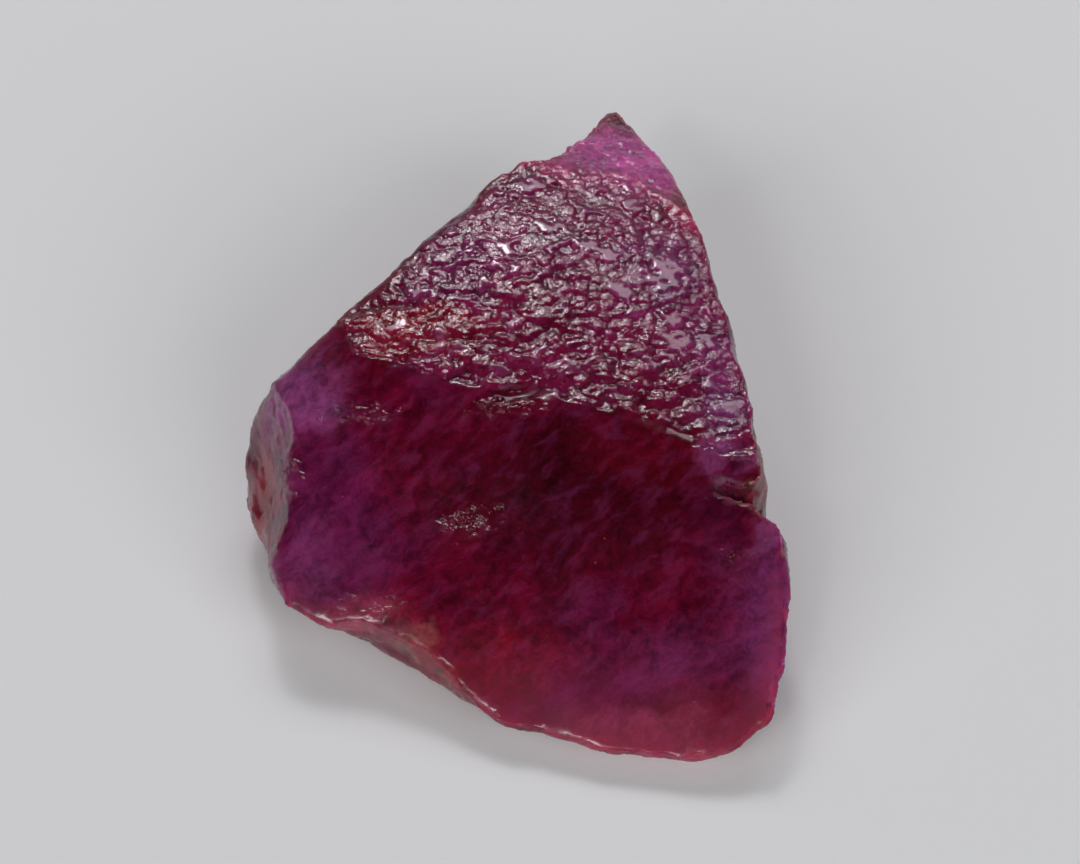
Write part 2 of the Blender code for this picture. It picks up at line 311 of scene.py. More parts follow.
@dataclass
class Skin:
    """The stone's surface as plain arrays: its points, and the quads between them."""

    points: np.ndarray
    quads: np.ndarray

    @classmethod
    def of_mesh(cls, mesh: bpy.types.Mesh) -> Skin:
        """Reads a mesh of quads.

        Args:
            mesh: The mesh, in metres.

        Returns:
            Its skin, in millimetres.
        """
        points = np.empty(len(mesh.vertices) * 3)
        mesh.vertices.foreach_get("co", points)
        quads = np.empty(len(mesh.loops), np.int32)
        mesh.loops.foreach_get("vertex_index", quads)
        return cls(points.reshape(-1, 3) / MM, quads.reshape(-1, 4))

    def across(self) -> np.ndarray:
        """Returns each quad's normal, as long as twice its area."""
        corners = self.points[self.quads]
        return np.cross(corners[:, 2] - corners[:, 0], corners[:, 3] - corners[:, 1])

    def centres(self) -> np.ndarray:
        """Returns the middle of each quad."""
        return self.points[self.quads].mean(axis=1)

    def shared_by(self) -> np.ndarray:
        """Returns how many quads meet at each point, as a column."""
        return np.bincount(self.quads.ravel(), minlength=len(self.points))[:, None]

    def to_points(self, values: np.ndarray) -> np.ndarray:
        """Adds up, at each point, the values of the quads round it.

        Args:
            values: A row for each quad.

        Returns:
            A row for each point.
        """
        spread = self.quads.ravel()
        columns = [np.bincount(spread, np.repeat(column, 4), len(self.points)) for column in values.T]
        return np.stack(columns, axis=1)

    def normals(self) -> np.ndarray:
        """Returns the unit normal at each point."""
        summed = self.to_points(self.across())
        return summed / np.linalg.norm(summed, axis=1, keepdims=True)

    def bend(self, rounds: int) -> np.ndarray:
        """Finds how sharply the skin bends at each point.

        Args:
            rounds: How often the result is averaged with what lies round it.

        Returns:
            The bend in 1/mm, above 0 on a break and below 0 in a hollow.
        """
        count = self.shared_by()
        corners = self.points[self.quads]
        beside = (np.roll(corners, 1, axis=1) + np.roll(corners, -1, axis=1)) / 2.0 - corners
        spread = self.quads.ravel()
        pull = [np.bincount(spread, beside[:, :, axis].ravel(), len(self.points)) for axis in range(3)]
        pull = np.stack(pull, axis=1) / count
        size = (beside**2).sum(axis=2).mean()
        bend = -(pull * self.normals()).sum(axis=1, keepdims=True) / size
        for _ in range(rounds):
            bend = self.to_points(bend[self.quads].mean(axis=1)) / count
        return bend[:, 0]

    def neighbours(self) -> np.ndarray:
        """Finds which quads lie side by side.

        Returns:
            The four quads beside each quad, or the quad itself where there is none.
        """
        ends = np.stack([self.quads, np.roll(self.quads, -1, axis=1)], axis=2)
        ends = ends.reshape(-1, 2).astype(np.int64)
        keys = ends.min(axis=1) * len(self.points) + ends.max(axis=1)
        order = np.argsort(keys, kind="stable")
        owner = np.arange(len(keys)) // 4
        beside = owner.copy()
        same = np.nonzero(keys[order][1:] == keys[order][:-1])[0]
        first, second = order[same], order[same + 1]
        beside[first], beside[second] = owner[second], owner[first]
        return beside.reshape(-1, 4)

    def smooth_faces(self, keep: np.ndarray, side: np.ndarray, rounds: int, settle: int) -> None:
        """Smooths the faces and leaves the breaks between them crisp.

        Args:
            keep: For each quad, how far two normals may differ and still be smoothed into each other.
            side: For each quad, a value that jumps across a border which stays sharp.
            rounds: How often the normals are smoothed.
            settle: How often the points then move towards the smoothed faces.
        """
        border = 12.0  # how strongly a jump of 1 in side parts two quads
        across = self.across()
        area = np.linalg.norm(across, axis=1, keepdims=True)
        normals = across / area
        beside = self.neighbours()
        jump = border * (side[beside] - side[:, None]) ** 2
        for _ in range(rounds):
            near = normals[beside]
            gap = ((near - normals[:, None]) ** 2).sum(axis=2) / (2.0 * keep[:, None] ** 2) + jump
            weight = np.exp(-gap) * area[beside][:, :, 0]
            normals = normals * area + (near * weight[:, :, None]).sum(axis=1)
            normals /= np.linalg.norm(normals, axis=1, keepdims=True)
        count = self.shared_by()
        for _ in range(settle):
            reach = (normals * self.centres()).sum(axis=1)
            pull = self.to_points(normals * reach[:, None])
            outer = (normals[:, :, None] * normals[:, None, :]).reshape(-1, 9)
            spread = self.to_points(outer).reshape(-1, 3, 3)
            self.points += (pull - np.einsum("nij,nj->ni", spread, self.points)) / count

    def level(self, face: np.ndarray, share: np.ndarray, order: int) -> None:
        """Takes coarse lumps off a face, by drawing it towards the even surface that fits it best.

        Args:
            face: Which points belong to the face.
            share: For each point, how much of its lump is taken off.
            order: How freely the even surface may curve: the highest power of X and Y in it.
        """
        x, y = self.points[:, 0] / 10.0, self.points[:, 1] / 10.0  # in cm, to keep the powers small
        powers = np.stack([x**a * y**b for a in range(order + 1) for b in range(order + 1 - a)], axis=1)
        fit = np.linalg.lstsq(powers[face], self.points[face, 2], rcond=None)[0]
        self.points[:, 2] += share * (powers @ fit - self.points[:, 2])


# ---- Node trees ----


class Sheet:
    """Writes a tree of nodes, each with its settings and its inputs in one call."""

    def __init__(self, tree: bpy.types.NodeTree) -> None:
        """Keeps the tree to write in."""
        self.tree = tree

    def node(
        self, kind: str, inputs: dict[int | str, object] | None = None, **settings: object
    ) -> bpy.types.Node:
        """Adds one node.

        Args:
            kind: The node's type.
            inputs: What goes in each socket: another node's output, or a plain value.
            **settings: The node's own settings.

        Returns:
            The new node.
        """
        made = self.tree.nodes.new(kind)
        for name, value in settings.items():
            setattr(made, name, value)
        for key, value in (inputs or {}).items():
            if isinstance(value, Socket):
                self.tree.links.new(value, made.inputs[key])
            else:
                made.inputs[key].default_value = value.value if isinstance(value, Palette) else value
        return made

    def math(self, operation: str, a: object, b: object = 0.0, c: object = 0.0) -> Socket:
        """Adds a Math node and returns its result."""
        return self.node("ShaderNodeMath", {0: a, 1: b, 2: c}, operation=operation).outputs[0]

    def product(self, a: object, b: object) -> Socket:
        """Returns the product of two numbers."""
        return self.math("MULTIPLY", a, b)

    def larger(self, a: object, b: object) -> Socket:
        """Returns the larger of two numbers."""
        return self.math("MAXIMUM", a, b)

    def vector(self, operation: str, a: object, b: object = (0.0, 0.0, 0.0)) -> Socket:
        """Adds a Vector Math node on two vectors and returns its vector."""
        return self.node("ShaderNodeVectorMath", {0: a, 1: b}, operation=operation).outputs["Vector"]

    def scaled(self, a: object, factor: object) -> Socket:
        """Returns a vector times one number."""
        return self.node("ShaderNodeVectorMath", {0: a, "Scale": factor}, operation="SCALE").outputs[0]

    def ease(self, value: object, low: float, high: float, start: float = 0.0, end: float = 1.0) -> Socket:
        """Eases a value between two limits.

        Args:
            value: The value to ease.
            low: The value that gives start.
            high: The value that gives end.
            start: The result at low.
            end: The result at high.

        Returns:
            The eased value.
        """
        inputs = {"Value": value, "From Min": low, "From Max": high, "To Min": start, "To Max": end}
        return self.node("ShaderNodeMapRange", inputs, interpolation_type="SMOOTHSTEP").outputs["Result"]

    def noise(
        self, place: object, rate: float, detail: float = 2.0, roughness: float = 0.5, distortion: float = 0.0
    ) -> bpy.types.Node:
        """Adds a Noise Texture.

        Args:
            place: The place to read it at.
            rate: How many features it has for each unit of place.
            detail: How many finer layers it has.
            roughness: How strong these layers are.
            distortion: How far it is drawn out of shape.

        Returns:
            The node, with a value near 0.5 and a colour.
        """
        inputs = {"Vector": place, "Scale": rate, "Detail": detail}
        inputs |= {"Roughness": roughness, "Distortion": distortion}
        return self.node("ShaderNodeTexNoise", inputs)

    def wander(self, place: object, rate: float, detail: float, roughness: float = 0.5) -> Socket:
        """Returns a vector that drifts slowly round zero, to bend a place with."""
        drift = self.noise(place, rate, detail, roughness).outputs["Color"]
        return self.vector("SUBTRACT", drift, (0.5, 0.5, 0.5))

    def moved(self, place: object, way: object, reach: float) -> Socket:
        """Returns a place moved along a way, times a reach."""
        return self.vector("ADD", place, self.scaled(way, reach))

    def blend(self, share: object, under: object, over: object, kind: str = "MIX") -> Socket:
        """Mixes two colours and returns the result."""
        inputs = {0: share, 6: under, 7: over}
        return self.node("ShaderNodeMix", inputs, data_type="RGBA", blend_type=kind).outputs[2]

    def named(self, name: str, kind: str) -> Socket:
        """Reads an attribute of the skin, in a tree that changes its shape."""
        return self.node("GeometryNodeInputNamedAttribute", {"Name": name}, data_type=kind).outputs[0]

    def mark(self, mark: Mark) -> Socket:
        """Reads one of the skin's marks, in either kind of tree.

        Args:
            mark: The mark.

        Returns:
            Its value.
        """
        if isinstance(self.tree, bpy.types.GeometryNodeTree):
            return self.named(mark.value, "FLOAT")
        return self.node("ShaderNodeAttribute", attribute_name=mark.value).outputs["Fac"]


# ---- The stone's relief ----


@dataclass(frozen=True)
class Relief:
    """The relief of the stone's faces, as a Geometry Nodes tree that moves each point along its own normal.

    The etched crown has small rounded pebbles on larger lumps, with grit between them and a few flat patches.
    The broken sides have ripples and chipped edges, and the front face next to nothing.
    """

    pebble: Point = (0.56, 0.54, 0.54)  # how wide a pebble is each way
    pebble_depth: float = 0.085
    vigour_rate: float = 0.30  # how often the pebbles grow and shrink, in 1/mm
    vigour: Span = (0.34, 1.05)  # their height where they are weak and where they are strong
    lump: Point = (1.7, 1.3, 1.4)  # how wide a lump is each way
    lump_depth: float = 0.16
    lump_share: Span = (0.3, 1.0)  # how much of that height it has far from the ridge and at it
    dome: float = 0.6  # how far pebbles and lumps reach from their middle, against their width
    grit_size: float = 0.27
    grit_depth: float = 0.050
    calm_size: float = 1.5  # how wide the noise is that sets the small flat patches
    calm_from: Span = (0.585, 0.625)  # its values between which a patch sets in
    calm_rarer: float = 0.02  # how much rarer the patches are near the ridge
    calm_share: Span = (0.92, 0.9)  # how flat a small patch and a large one are
    calm_level: float = 0.8  # the height of the flat patches, against the lumps
    spark_from: Span = (0.45, 1.0)  # the strengths between which a glistening patch gets the crown's relief
    spark_share: float = 0.8
    tip_share: float = 0.65  # how much of the crown's relief the tip has
    side_ripple: Point = (1.9, 1.9, 0.8)  # how wide the ripples of the broken sides are each way
    side_depth: float = 0.44
    front_size: float = 1.6
    front_depth: float = 0.03
    chip_size: float = 1.1
    chip_depth: float = 0.20
    seed: int = 7

    def inputs(self) -> dict[str, float]:
        """Returns the tree's inputs by name: every depth, and the seed."""
        names = [name for name in vars(self) if name.endswith("_depth")] + ["seed"]
        return {name.replace("_", " ").title(): float(getattr(self, name)) for name in names}

    def tree(self, material: bpy.types.Material) -> bpy.types.NodeTree:
        """Writes the tree.

        Args:
            material: The finish that the result gets.

        Returns:
            The tree, whose inputs are the depths and the seed.
        """
        tree = bpy.data.node_groups.new("stone relief", "GeometryNodeTree")
        tree.interface.new_socket("Geometry", in_out="INPUT", socket_type="NodeSocketGeometry")
        for name in self.inputs():
            tree.interface.new_socket(name, in_out="INPUT", socket_type="NodeSocketFloat")
        tree.interface.new_socket("Geometry", in_out="OUTPUT", socket_type="NodeSocketGeometry")
        sheet = Sheet(tree)
        given = sheet.node("NodeGroupInput").outputs
        place = sheet.scaled(sheet.node("GeometryNodeInputPosition").outputs[0], 1.0 / MM)
        shift = sheet.node("ShaderNodeCombineXYZ", {0: given["Seed"], 1: given["Seed"]}).outputs[0]
        place = sheet.vector("ADD", place, shift)
        way = sheet.wander(place, 0.6, detail=3.0)
        bent = sheet.moved(place, way, 2.0)
        calm = self.calm(sheet, bent)
        crown = self.crown(sheet, given, place, bent, sheet.moved(place, way, 0.6))
        level = sheet.math("SUBTRACT", sheet.product(given["Lump Depth"], self.calm_level), crown)
        crown = sheet.math("MULTIPLY_ADD", level, calm, crown)
        height = self.sides(sheet, given, place, bent, sheet.product(crown, self.rough(sheet)))
        height = sheet.product(height, sheet.mark(Mark.FREE))

        stored = sheet.node(
            "GeometryNodeStoreNamedAttribute",
            {"Geometry": given["Geometry"], "Name": Mark.CALM.value, "Value": calm},
        ).outputs[0]
        push = sheet.scaled(sheet.named(OUTWARDS, "FLOAT_VECTOR"), sheet.product(height, MM))
        moved = sheet.node("GeometryNodeSetPosition", {"Geometry": stored, "Offset": push}).outputs[0]
        real = sheet.node("GeometryNodeRealizeInstances", {"Geometry": moved}).outputs[0]
        smooth = sheet.node("GeometryNodeSetShadeSmooth", {"Geometry": real}).outputs[0]
        dressed = sheet.node("GeometryNodeSetMaterial", {"Geometry": smooth, "Material": material}).outputs[0]
        sheet.node("NodeGroupOutput", {0: dressed})
        return tree

    def crown(self, sheet: Sheet, given: object, place: object, bent: object, nudged: object) -> Socket:
        """Heaps the crown's pebbles, lumps and grit.

        Args:
            sheet: The tree to write in.
            given: The tree's inputs.
            place: The place in the stone.
            bent: The place, bent far.
            nudged: The place, bent a little.

        Returns:
            The height of the crown's relief.
        """
        low = sheet.mark(Mark.LOW_CROWN)
        pebbles = self.domes(sheet, nudged, self.pebble, given["Pebble Depth"])
        vigour = sheet.noise(place, self.vigour_rate, detail=3.0).outputs[0]
        pebbles = sheet.product(pebbles, sheet.ease(vigour, 0.38, 0.60, *self.vigour))
        lumps = self.domes(sheet, bent, self.lump, given["Lump Depth"])
        far, near = self.lump_share
        lumps = sheet.product(lumps, sheet.math("MULTIPLY_ADD", low, near - far, far))
        grit = sheet.noise(place, 1.0 / self.grit_size, detail=2.0, roughness=0.6).outputs[0]
        grit = sheet.product(sheet.math("SUBTRACT", grit, 0.5), given["Grit Depth"])
        return sheet.math("ADD", sheet.math("ADD", pebbles, grit), lumps)

    def calm(self, sheet: Sheet, bent: object) -> Socket:
        """Finds the crown's flat patches, the small ones and the large ones.

        Args:
            sheet: The tree to write in.
            bent: The place in the stone, bent far.

        Returns:
            How flat each point is, from 0 to 1.
        """
        small, large = self.calm_share
        calm = sheet.noise(bent, 1.0 / self.calm_size, detail=2.0).outputs[0]
        rarer = sheet.product(sheet.mark(Mark.LOW_CROWN), self.calm_rarer)
        calm = sheet.math("SUBTRACT", calm, rarer)
        calm = sheet.ease(calm, *self.calm_from, 0.0, small)
        return sheet.larger(calm, sheet.product(sheet.mark(Mark.FLAT), large))

    def rough(self, sheet: Sheet) -> Socket:
        """Returns how much of the crown's relief each point has."""
        spark = sheet.ease(sheet.mark(Mark.SPARK), *self.spark_from, 0.0, self.spark_share)
        rough = sheet.larger(sheet.mark(Mark.ETCHED), spark)
        return sheet.larger(rough, sheet.product(sheet.mark(Mark.TIP), self.tip_share))

    def sides(self, sheet: Sheet, given: object, place: object, bent: object, height: object) -> Socket:
        """Adds the relief of the broken sides and the front face, and chips the breaks between them.

        Args:
            sheet: The tree to write in.
            given: The tree's inputs.
            place: The place in the stone.
            bent: The place, bent far.
            height: The height of the crown's relief.

        Returns:
            The height of the whole relief.
        """
        front = sheet.mark(Mark.FRONT)
        plain = sheet.math("SUBTRACT", 1.0, sheet.mark(Mark.ETCHED))
        side = sheet.math("SUBTRACT", plain, front)
        side = sheet.math("SUBTRACT", side, sheet.product(sheet.mark(Mark.TIP), 0.6))
        stretched = sheet.vector("DIVIDE", bent, self.side_ripple)
        ripple = sheet.noise(stretched, 1.0, detail=5.0, roughness=0.64).outputs[0]
        ripple = sheet.product(sheet.math("SUBTRACT", ripple, 0.5), given["Side Depth"])
        height = sheet.math("ADD", height, sheet.product(ripple, side))
        swell = sheet.noise(place, 1.0 / self.front_size, detail=3.0).outputs[0]
        swell = sheet.product(sheet.math("SUBTRACT", swell, 0.5), given["Front Depth"])
        height = sheet.math("ADD", height, sheet.product(swell, front))
        chips = sheet.noise(bent, 1.0 / self.chip_size, detail=2.0, roughness=0.6).outputs[0]
        chips = sheet.product(sheet.ease(chips, 0.40, 0.62), given["Chip Depth"])
        breaks = sheet.larger(sheet.mark(Mark.EDGE), 0.0)
        return sheet.math("SUBTRACT", height, sheet.product(chips, sheet.product(breaks, plain)))

    def domes(self, sheet: Sheet, place: object, size: Point, depth: object) -> Socket:
        """Heaps rounded domes of about one size.

        Args:
            sheet: The tree to write in.
            place: The place in the stone.
            size: How wide a dome is each way.
            depth: How tall it is.

        Returns:
            The height of the domes.
        """
        inputs = {"Vector": sheet.vector("DIVIDE", place, size), "Scale": 1.0}
        away = sheet.node("ShaderNodeTexVoronoi", inputs, feature="F1").outputs["Distance"]
        sunk = sheet.math("POWER", sheet.math("DIVIDE", away, self.dome), 2.0)
        return sheet.product(sheet.math("SUBTRACT", 1.0, sunk), depth)

    def apply(self, obj: bpy.types.Object, material: bpy.types.Material) -> bpy.types.Mesh:
        """Moves the points of an object's mesh by the relief.

        Args:
            obj: The object, whose mesh has the marks.
            material: The finish that the result gets.

        Returns:
            The plain mesh that results.
        """
        tree = self.tree(material)
        modifier = obj.modifiers.new("relief", "NODES")
        modifier.node_group = tree
        values = self.inputs()
        for item in tree.interface.items_tree:
            if item.in_out == "INPUT" and item.name in values:
                modifier[item.identifier] = values[item.name]
        graph = bpy.context.evaluated_depsgraph_get()
        mesh = bpy.data.meshes.new_from_object(obj.evaluated_get(graph))
        obj.modifiers.clear()
        return mesh


# ---- The stone's finish ----


@dataclass(frozen=True)
class RubyFinish:
    """Cloudy ruby: wet and sparkling on the crown, waxy on the front face, translucent where it is thin.

    A rate is how often a thing comes in 1 mm. Where a look has three numbers, they are for the broken sides,
    the front face and the crown.
    """

    name: str = "raw ruby"
    ior: float = 1.77
    gloss: Point = (0.22, 0.15, 0.145)  # the roughness
    grain_rate: float = 1.3  # how often it changes
    worn: float = 0.35  # how much rougher breaks and hollows are outside the crown
    worn_gain: float = 1.8  # how quickly they get there as they get sharper
    dull: float = 0.5  # how much rougher the weathered patches are
    glow_depth: float = 0.0032  # how deep light goes under the skin, in metres
    glow_radius: Point = (1.0, 0.10, 0.28)  # how far red, green and blue go, against that depth
    glow_share: float = 0.85
    warp_size: float = 2.8  # how wide the bends are that shape the clouds and the veils
    cloud_reach: float = 5.2  # how far they move the clouds
    veil_reach: float = 1.82  # how far they move the veils
    drift_size: float = 7.0  # how wide the stone's slow changes of colour are
    plum: Span = (0.62, 0.24)  # how much plum the crown has far from the ridge and at it
    lilac: float = 0.35  # the painted lilac reflection on the crown's flat patches
    rose: float = 0.5  # along the crease
    pink: float = 0.45  # the painted pink glow where the stone is thin
    blotch_rate: float = 0.42
    streak_size: Point = (2.4, 0.75, 0.9)
    streak_turn: float = 38.0  # in degrees, from the left and right
    speck_rate: float = 1.9
    blush_rate: float = 1.1
    blush: float = 0.30
    milk: Point = (0.12, 0.26, 0.26)  # how pale the streaks are
    fleck_rate: float = 1.1
    fleck_size: float = 0.13  # how far a fleck reaches, against their distance
    fleck: float = 0.3  # how pale it is
    bump_rate: float = 4.2
    bump: Point = (0.014, 0.006, 0.005)  # how tall the finest relief is
    bump_etched: float = 0.04  # how much taller it is where the skin is etched
    bump_spark: float = 1.9  # how much of that the glistening patches have

    def material(self) -> bpy.types.Material:
        """Builds the material.

        Returns:
            The new material.
        """
        material = bpy.data.materials.new(self.name)
        material.use_nodes = True
        tree = material.node_tree
        shader = tree.nodes["Principled BSDF"]
        sheet = Sheet(tree)
        place = sheet.scaled(sheet.node("ShaderNodeTexCoord").outputs["Object"], 1.0 / MM)
        tree.links.new(self.colour(sheet, place), shader.inputs["Base Color"])
        tree.links.new(self.roughness(sheet, place), shader.inputs["Roughness"])
        tree.links.new(self.relief(sheet, place), shader.inputs["Normal"])
        shader.inputs["IOR"].default_value = self.ior
        shader.inputs["Subsurface Weight"].default_value = self.glow_share
        shader.inputs["Subsurface Radius"].default_value = self.glow_radius
        shader.inputs["Subsurface Scale"].default_value = self.glow_depth
        LOG.info("%s: material ready", material.name)
        return material

    def pick(self, sheet: Sheet, side: float, front: float, crown: float) -> Socket:
        """Picks a value by the face that a point is on.

        Args:
            sheet: The tree to write in.
            side: The value on the broken sides.
            front: The value on the front face.
            crown: The value on the etched crown and in the glistening patches.

        Returns:
            The value, which changes smoothly from face to face.
        """
        value = sheet.ease(sheet.mark(Mark.FRONT), 0.0, 1.0, side, front)
        share = sheet.larger(sheet.mark(Mark.ETCHED), sheet.mark(Mark.SPARK))
        return sheet.math("MULTIPLY_ADD", sheet.math("SUBTRACT", crown, value), share, value)

    def roughness(self, sheet: Sheet, place: object) -> Socket:
        """Builds the roughness: wet faces, worn breaks and weathered patches.

        Args:
            sheet: The tree to write in.
            place: The place in the stone.

        Returns:
            The roughness.
        """
        grain = sheet.noise(place, self.grain_rate, detail=4.0).outputs[0]
        rough = sheet.product(self.pick(sheet, *self.gloss), sheet.math("ADD", grain, 0.5))
        sharp = sheet.product(sheet.math("ABSOLUTE", sheet.mark(Mark.EDGE)), self.worn_gain)
        outside = sheet.product(sheet.mark(Mark.ETCHED), self.worn)
        outside = sheet.math("SUBTRACT", self.worn, outside)
        worn = sheet.product(sheet.math("MINIMUM", sharp, 1.0), outside)
        rough = sheet.math("ADD", rough, worn)
        return sheet.math("ADD", rough, sheet.product(sheet.mark(Mark.DULL), self.dull))

    def colour(self, sheet: Sheet, place: object) -> Socket:
        """Builds the stone's colour from its clouds and its veils, with a painted lilac reflection on the
        crown's flat patches and a painted pink glow on its thin edges.

        Args:
            sheet: The tree to write in.
            place: The place in the stone.

        Returns:
            The colour.
        """
        wander = sheet.wander(place, 1.0 / self.warp_size, detail=4.0, roughness=0.6)
        drift = sheet.noise(place, 1.0 / self.drift_size, detail=3.0).outputs[0]
        purple = sheet.ease(drift, 0.50, 0.66, 0.0, 0.5)
        colour = sheet.blend(purple, Palette.CRIMSON, Palette.PURPLE)
        colour = sheet.blend(sheet.ease(drift, 0.46, 0.32, 0.0, 0.4), colour, Palette.RED)
        plum = sheet.ease(sheet.mark(Mark.LOW_CROWN), 0.0, 1.0, *self.plum)
        plum = sheet.product(sheet.mark(Mark.ETCHED), plum)
        colour = sheet.blend(plum, colour, Palette.PLUM)
        colour = self.clouds(sheet, sheet.moved(place, wander, self.cloud_reach), colour)
        # Painted reflection: lilac laid on the crown's flat patches stands in for the softbox's lilac
        # reflection in them.
        lilac = sheet.product(sheet.mark(Mark.CALM), sheet.mark(Mark.ETCHED))
        colour = sheet.blend(sheet.product(lilac, self.lilac), colour, Palette.LILAC)
        rose = sheet.product(sheet.mark(Mark.CREASE), self.rose)
        colour = sheet.blend(rose, colour, Palette.ROSE)
        colour = self.veils(sheet, place, sheet.moved(place, wander, self.veil_reach), colour)
        # Painted glow: thin parts are made pinker, standing in for light that passes through them.
        pink = sheet.product(sheet.mark(Mark.THIN), self.pink)
        return sheet.blend(pink, colour, Palette.PINK)

    def clouds(self, sheet: Sheet, bent: object, colour: object) -> Socket:
        """Lays the colour clouds over a colour.

        Args:
            sheet: The tree to write in.
            bent: The place in the stone, bent far.
            colour: The colour under them.

        Returns:
            The colour with its clouds.
        """
        for cloud in CLOUDS:
            away = sheet.vector("DIVIDE", sheet.vector("SUBTRACT", bent, cloud.middle), cloud.radii)
            length = sheet.node("ShaderNodeVectorMath", {0: away}, operation="LENGTH").outputs["Value"]
            share = sheet.ease(length, 1.15, 0.35, 0.0, cloud.strength)
            colour = sheet.blend(share, colour, cloud.colour)
        return colour

    def veils(self, sheet: Sheet, place: object, bent: object, colour: object) -> Socket:
        """Lays the blotches, the streaks and the small flecks over a colour.

        Args:
            sheet: The tree to write in.
            place: The place in the stone.
            bent: The place, bent a little.
            colour: The colour under them.

        Returns:
            The cloudy colour.
        """
        blotch = sheet.noise(bent, self.blotch_rate, detail=5.0, roughness=0.64).outputs[0]
        turn = (0.0, 0.0, math.radians(self.streak_turn))
        along = {"Vector": bent, "Rotation": turn, "Scale": self.streak_size}
        turned = sheet.node("ShaderNodeMapping", along, vector_type="TEXTURE").outputs[0]
        streak = sheet.noise(turned, 1.0, detail=4.0, roughness=0.62).outputs[0]
        speck = sheet.noise(bent, self.speck_rate, detail=4.0, roughness=0.7).outputs[0]
        level = sheet.ease(blotch, 0.34, 0.66, 0.76, 1.24)
        level = sheet.math("ADD", level, sheet.ease(streak, 0.34, 0.66, -0.20, 0.16))
        level = sheet.math("ADD", level, sheet.ease(speck, 0.32, 0.68, -0.22, 0.26))
        dim = sheet.node("ShaderNodeCombineColor", {0: level, 1: level, 2: level}).outputs[0]
        colour = sheet.blend(1.0, colour, dim, "MULTIPLY")
        blush = sheet.noise(bent, self.blush_rate, detail=4.0, roughness=0.7).outputs[0]
        blush = sheet.ease(blush, 0.52, 0.70, 0.0, self.blush)
        colour = sheet.blend(blush, colour, Palette.CRIMSON)
        milk = sheet.product(sheet.ease(streak, 0.44, 0.76), self.pick(sheet, *self.milk))
        colour = sheet.blend(milk, colour, Palette.VIOLET)
        spaced = {"Vector": place, "Scale": self.fleck_rate}
        cells = sheet.node("ShaderNodeTexVoronoi", spaced, feature="F1")
        size = sheet.ease(blotch, 0.50, 0.66, 0.0, self.fleck_size)
        fleck = sheet.product(sheet.math("LESS_THAN", cells.outputs["Distance"], size), self.fleck)
        return sheet.blend(fleck, colour, Palette.TAN)

    def relief(self, sheet: Sheet, place: object) -> Socket:
        """Builds the finest relief, whose grains are under 0.3 mm wide.

        Args:
            sheet: The tree to write in.
            place: The place in the stone.

        Returns:
            The normal that results.
        """
        spark = sheet.product(sheet.mark(Mark.SPARK), self.bump_spark)
        rough = sheet.larger(sheet.mark(Mark.ETCHED), spark)
        rough = sheet.larger(rough, sheet.mark(Mark.TIP))
        rough = sheet.product(rough, sheet.math("SUBTRACT", 1.0, sheet.mark(Mark.CALM)))
        tall = sheet.math("MULTIPLY_ADD", rough, self.bump_etched, self.pick(sheet, *self.bump))
        fine = sheet.noise(place, self.bump_rate, detail=2.0, roughness=0.6, distortion=0.5).outputs[0]
        height = sheet.product(sheet.product(fine, tall), MM)
        return sheet.node("ShaderNodeBump", {"Height": height, "Strength": 1.0, "Distance": 1.0}).outputs[0]


# ---- The stone ----


